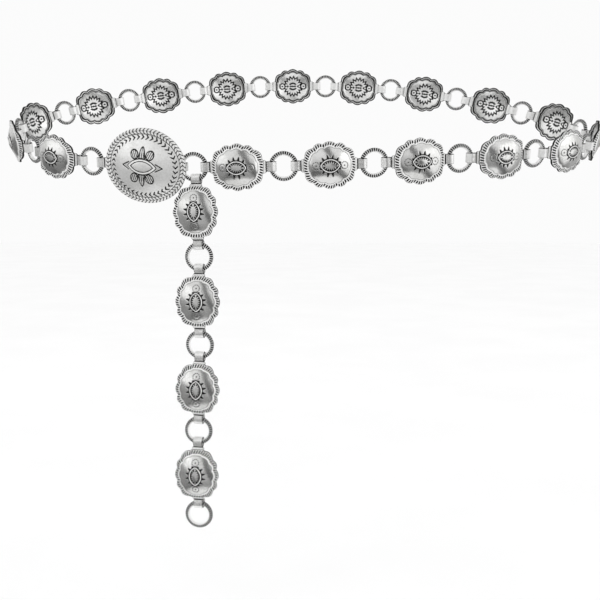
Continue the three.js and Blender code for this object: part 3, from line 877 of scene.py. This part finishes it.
def aged_silver(name, bright, satin, dark_strength):
    """Polished silver with black oxide left in its low places, painted shade in creases and on sides and
    walls, and frosted white that also paints highlights on raised parts.
    """
    material = bpy.data.materials.new(name)
    material.use_nodes = True
    tree = Tree(material.node_tree)
    spot = tree.node("ShaderNodeNewGeometry", output="Position")
    oxide_and_shade = tree.node("ShaderNodeAttribute", {"attribute_name": "oxide_and_shade"}, output="Fac")
    frost_and_highlight = tree.node("ShaderNodeAttribute", {"attribute_name": "frost_and_highlight"}, output="Fac")
    cloud = tree.noise(spot, CLOUD_SCALE)
    mottle = tree.noise(spot, MOTTLE_SCALE, 4.0, 0.6)
    grit = tree.noise(spot, GRIT_SCALE, 2.0)
    scratch_place = tree.node("ShaderNodeMapping", {}, {"Vector": spot, "Scale": SCRATCH_SCALE,
                                                        "Rotation": SCRATCH_TURN})
    scratch = tree.noise(scratch_place, 1.0, 2.0)
    # Oxide in the low places, and painted shade where the mesh marks creases, sides and walls, darken the
    # colour
    dark = tree.range(oxide_and_shade * dark_strength + (mottle - 0.5) * 0.25, 0.14, 0.5)
    film = tree.range(cloud * 0.5 + mottle * 0.5, 0.38, 0.66)
    clean = tree.mix(film, (bright, bright, bright * 0.99, 1),
                     (bright * 0.82, bright * 0.82, bright * 0.8, 1))
    # Frosted white, which on raised parts also paints a highlight
    silver = tree.mix(frost_and_highlight, clean, tree.mix(film, FROST_AND_HIGHLIGHT_WHITE, FROST_AND_HIGHLIGHT_FILMED))
    height = cloud * 0.6 + mottle * 0.07 + grit * 0.03 + scratch * 0.02 + frost_and_highlight * mottle * 0.12
    bump = tree.node("ShaderNodeBump", {}, {"Strength": 0.55, "Distance": BUMP_DISTANCE,
                                            "Height": height}, output="Normal")
    shader = tree.node("ShaderNodeBsdfPrincipled", {}, {
        "Base Color": tree.mix(dark, silver, OXIDE_AND_SHADE_BLACK),
        "Metallic": (1 - dark * 0.5) * (1 - frost_and_highlight * 0.65),
        "Roughness": satin + frost_and_highlight * 0.2 + dark * 0.3 + film * 0.07 + (scratch - 0.5) * 0.1,
        "Specular IOR Level": 0.25,
        "Normal": bump})
    tree.node("ShaderNodeOutputMaterial", {}, {"Surface": shader})
    return material


CONCHO_FINISH = aged_silver("stamped_concho_silver", 0.82, 0.15, 1.0)
RING_FINISH = aged_silver("ribbed_ring_silver", 0.9, 0.2, 1.0)
BUCKLE_FINISH = aged_silver("buckle_silver_satin", 0.88, 0.27, 0.75)


def dress(node, mesh, matrix):
    piece = bpy.data.objects.new(node + "_silver", mesh)
    bpy.context.scene.collection.objects.link(piece)
    piece.matrix_world = matrix
    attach(piece, "root")
    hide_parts(node)


def dress_belt():
    concho = concho_skin().mesh("concho_mesh", CONCHO_FINISH)
    ring = ring_skin().mesh("ring_mesh", RING_FINISH)
    buckle = buckle_skin().mesh("buckle_mesh", BUCKLE_FINISH)
    joints = waist_joints()
    for i in range(WAIST_CONCHOS + 1):
        dress(f"ring_{i + 1:02d}", ring, place(*between(joints[2 * i], joints[2 * i + 1])))
        if i < WAIST_CONCHOS:
            spot = place(*between(joints[2 * i + 1], joints[2 * i + 2]))
            dress(f"concho_{i + 1:02d}", concho, spot)
    dress("buckle", buckle, place(*between(*joints[-2:])))
    middle, along, out = between(joints[0], joints[1])
    reach = RING_DIAMETER / 2
    top = middle - out.cross(along) * reach * math.cos(TAIL_SLIDE) + along * reach * math.sin(TAIL_SLIDE)
    facing = Vector((out.x, out.y, 0)).normalized()
    for i, lean in enumerate(TAIL_LEANS, 1):
        down = Matrix.Rotation(math.radians(-lean), 3, facing) @ Vector((0, 0, -1))
        dress(f"tail_concho_{i}", concho, place(top + down * CONCHO_CHORD / 2, down, facing))
        top = top + down * CONCHO_CHORD
        dress(f"tail_ring_{i}", ring, place(top + down * RING_DIAMETER / 2, down, facing))
        top = top + down * RING_DIAMETER


def camera():
    data = bpy.data.cameras.new("camera")
    data.lens = CAMERA_LENS
    data.clip_start = 0.01
    data.clip_end = 50
    eye = bpy.data.objects.new("camera", data)
    eye.location = CAMERA_PLACE
    eye.rotation_euler = (math.pi / 2 - CAMERA_PITCH, 0, 0)
    bpy.context.scene.collection.objects.link(eye)
    bpy.context.scene.camera = eye


def floor():
    half = FLOOR_HALF
    level = CAD_BOX[0].z - FLOOR_DROP
    mesh = bpy.data.meshes.new("floor")
    mesh.from_pydata([(-half, -half, level), (half, -half, level), (half, half, level), (-half, half, level)],
                     [], [(0, 1, 2, 3)])
    paper = bpy.data.materials.new("pale_paper")
    paper.use_nodes = True
    tree = Tree(paper.node_tree)
    spot = tree.node("ShaderNodeNewGeometry", output="Position")
    tone = tree.range(tree.noise(spot, 6.0), 0.3, 0.7, 0.93, 0.95)
    colour = tree.node("ShaderNodeCombineColor", {}, {0: tone, 1: tone, 2: tone})
    shader = tree.node("ShaderNodeBsdfPrincipled", {}, {"Base Color": colour, "Roughness": 0.9,
                                                        "Specular IOR Level": 0.1})
    tree.node("ShaderNodeOutputMaterial", {}, {"Surface": shader})
    mesh.materials.append(paper)
    ground = bpy.data.objects.new("floor", mesh)
    bpy.context.scene.collection.objects.link(ground)
    ground.visible_glossy = False


def studio_tone(tree, x, y, z):
    """What the silver mirrors, by direction: a wall, a bright table, two windows and a dark stand."""
    wall = 0.46 + tree.range(z, -0.35, 0.45, 0.0, 0.4) - tree.range(z, -0.42, -0.6, 0.0, 0.14)
    table = tree.range(z, -0.72, -0.77, 0.0, 0.6)
    level = tree.range(z, -0.75, -0.6) * tree.range(z, 0.5, 0.4) * tree.range(y, 0.15, -0.1)
    windows = level * (tree.range(x, 0.5, 0.58, 0.0, 0.6) + tree.range(x, -0.55, -0.66, 0.0, 0.35))
    from_stand = tree.node("ShaderNodeMath", {"operation": "ABSOLUTE"}, {0: x - 0.3 + z * 0.5})
    stand = tree.range(from_stand, 0.16, 0.12, 0.0, 0.75)
    corner = tree.range(x * -0.8 - z, 0.7, 0.74, 0.0, 0.6) * tree.range(z, -0.77, -0.72)
    return (wall + table + windows) * (1 - stand) * (1 - corner)


def surroundings():
    """Even white to look at and for soft light; in reflections, a studio of greys."""
    world = bpy.data.worlds.new("studio")
    bpy.context.scene.world = world
    world.use_nodes = True
    world.cycles.sampling_method = "NONE"
    tree = Tree(world.node_tree)
    way = tree.node("ShaderNodeTexCoord", output="Generated")
    split = tree.node("ShaderNodeSeparateXYZ", {}, {0: way}).socket.node
    seen = studio_tone(tree, *(Value(tree, split.outputs[axis]) for axis in "XYZ"))
    path = tree.node("ShaderNodeLightPath").socket.node
    glossy = Value(tree, path.outputs["Is Glossy Ray"])
    straight = Value(tree, path.outputs["Is Camera Ray"])
    white = OPEN_WHITE - straight * (OPEN_WHITE - SEEN_WHITE)
    reflected = tree.node("ShaderNodeBackground", {}, {"Color": WHITE, "Strength": seen})
    open_white = tree.node("ShaderNodeBackground", {}, {"Color": WHITE, "Strength": white})
    mixed = tree.node("ShaderNodeMixShader", {}, {0: glossy, 1: open_white, 2: reflected})
    tree.node("ShaderNodeOutputWorld", {}, {"Surface": mixed})


def lamp(name, place, aim, size, power):
    data = bpy.data.lights.new(name, "AREA")
    data.shape = "RECTANGLE"
    data.size, data.size_y = size
    data.energy = power
    light = bpy.data.objects.new(name, data)
    light.location = place
    light.rotation_euler = (Vector(aim) - Vector(place)).to_track_quat("-Z", "Y").to_euler()
    light.visible_glossy = False
    bpy.context.scene.collection.objects.link(light)


camera()
floor()
surroundings()
lamp("top_light", (0.2, -0.1, 1.5), (0, 0, 0), (1.6, 1.2), 1.5)
lamp("left_light", (-1.5, -1.0, 0.5), (0, 0, 0), (0.5, 1.2), 1)
lamp("right_light", (1.5, -1.1, 0.4), (0, 0, 0), (0.5, 1.2), 1)
dress_belt()
bpy.context.scene.view_settings.view_transform = "Standard"
